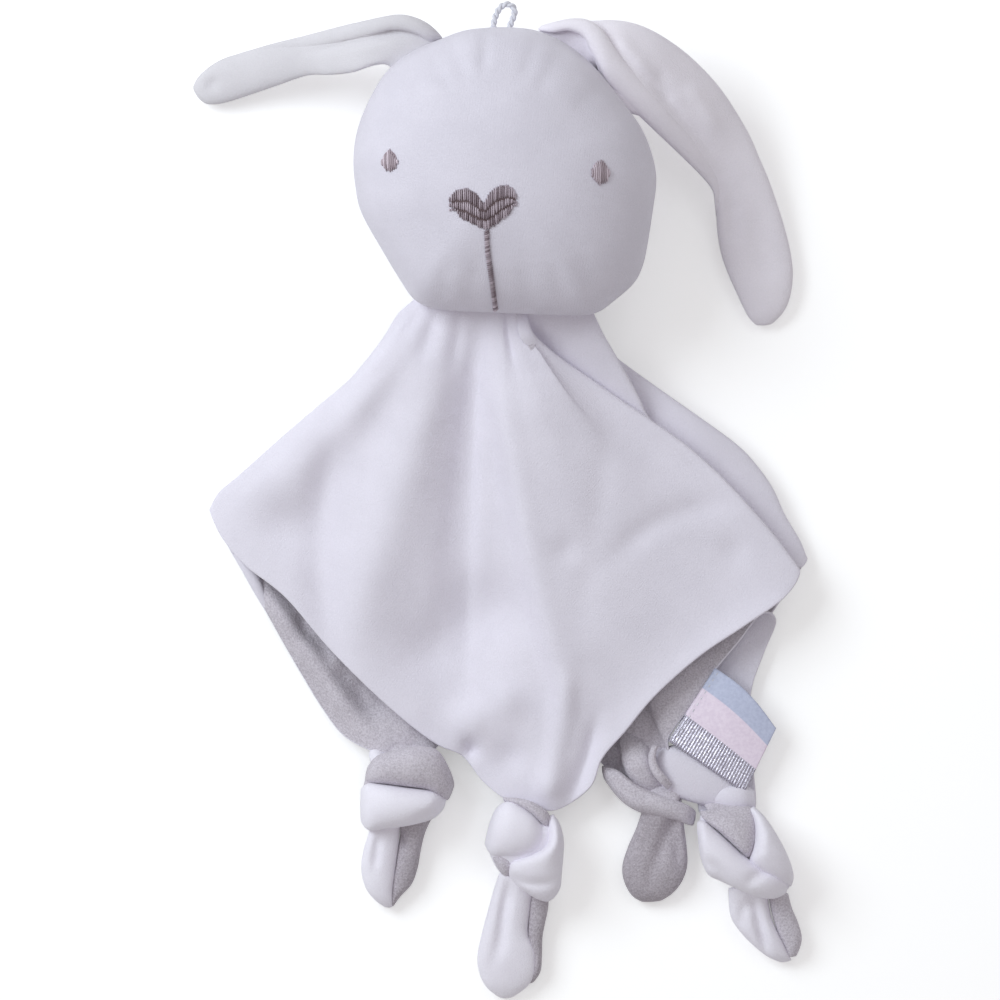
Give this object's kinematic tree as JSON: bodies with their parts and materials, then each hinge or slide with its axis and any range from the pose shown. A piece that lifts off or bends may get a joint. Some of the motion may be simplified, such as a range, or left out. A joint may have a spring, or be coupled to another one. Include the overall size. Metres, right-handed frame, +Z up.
{
  "type": "comfort blanket with rabbit head",
  "caption": "Comfort blanket for a baby: a stuffed rabbit head with floppy ears on a lined square of velour with knotted corners, a hanger loop and a ribbon tag.",
  "frame": {"origin": "middle of the resting outline, on the surface it lies on", "axes": "+Z up, out of the face; +Y from the knots to the crown; +X to the reader's right"},
  "size_m": [0.2151, 0.3481, 0.0725],
  "materials": {
    "white_velour": "short soft pile",
    "grey_velour": "short soft pile, heather grey",
    "filling": "loose fibre",
    "taupe_thread": "satin stitch, slight sheen",
    "white_cord": "twisted cotton cord, matte",
    "striped_ribbon": "woven satin with a metallic stripe",
    "tag_thread": "sewing thread, matte"
  },
  "bodies": {
    "blanket": {"blanket_face": "white_velour", "blanket_lining": "grey_velour"},
    "head": {"head_front_panel": "white_velour", "head_back_panel": "white_velour", "head_filling": "filling", "left_eye_embroidery": "taupe_thread", "right_eye_embroidery": "taupe_thread", "nose_embroidery": "taupe_thread", "mouth_embroidery": "taupe_thread", "left_ear_root": "white_velour", "right_ear_root": "white_velour"},
    "left_ear": {"left_ear_front_panel": "white_velour", "left_ear_back_panel": "white_velour", "left_ear_wadding": "filling"},
    "right_ear": {"right_ear_front_panel": "white_velour", "right_ear_back_panel": "white_velour", "right_ear_wadding": "filling"},
    "hanger_loop": {"hanger_loop": "white_cord"},
    "left_knot": {"left_knot_tail": "white_velour", "left_knot_wrap": "white_velour"},
    "centre_knot": {"centre_knot_tail": "white_velour", "centre_knot_wrap": "white_velour"},
    "back_knot": {"back_knot_tail": "white_velour", "back_knot_wrap": "white_velour"},
    "right_knot": {"right_knot_tail": "white_velour", "right_knot_wrap": "white_velour"},
    "ribbon_tag": {"ribbon_tag": "striped_ribbon", "tag_stitching": "tag_thread"}
  },
  "joints": [
    {"name": "head_nod", "type": "hinge", "parent": "blanket", "child": "head", "pos_m": [0.0018, 0.06562, 0.03814], "axis": [1, 0, 0], "range_deg": [0, 45]},
    {"name": "hanger_loop_lift", "type": "hinge", "parent": "head", "child": "hanger_loop", "pos_m": [0.00091, 0.16565, 0.03665], "axis": [1, 0, 0], "range_deg": [0, 80]},
    {"name": "left_ear_lift", "type": "hinge", "parent": "head", "child": "left_ear", "pos_m": [-0.04355, 0.16085, 0.03805], "axis": [-0.0046, 1, 0], "range_deg": [0, 70]},
    {"name": "right_ear_lift", "type": "hinge", "parent": "head", "child": "right_ear", "pos_m": [0.03917, 0.15846, 0.03805], "axis": [-0.292, -0.9564, 0], "range_deg": [0, 55]},
    {"name": "left_knot_lift", "type": "hinge", "parent": "blanket", "child": "left_knot", "pos_m": [-0.03356, -0.08749, 0.00835], "axis": [-1, 0, 0], "range_deg": [0, 40]},
    {"name": "centre_knot_lift", "type": "hinge", "parent": "blanket", "child": "centre_knot", "pos_m": [0.0102, -0.10499, 0.01135], "axis": [-1, 0, 0], "range_deg": [0, 40]},
    {"name": "back_knot_lift", "type": "hinge", "parent": "blanket", "child": "back_knot", "pos_m": [0.05746, -0.10464, 0.00735], "axis": [-1, 0, 0], "range_deg": [0, 40]},
    {"name": "right_knot_lift", "type": "hinge", "parent": "blanket", "child": "right_knot", "pos_m": [0.07951, -0.10849, 0.00535], "axis": [-1, 0, 0], "range_deg": [0, 40]},
    {"name": "ribbon_tag_lift", "type": "hinge", "parent": "blanket", "child": "ribbon_tag", "pos_m": [0.06697, -0.07127, 0.01115], "axis": [-0.5592, -0.829, 0], "range_deg": [0, 90]}
  ]
}
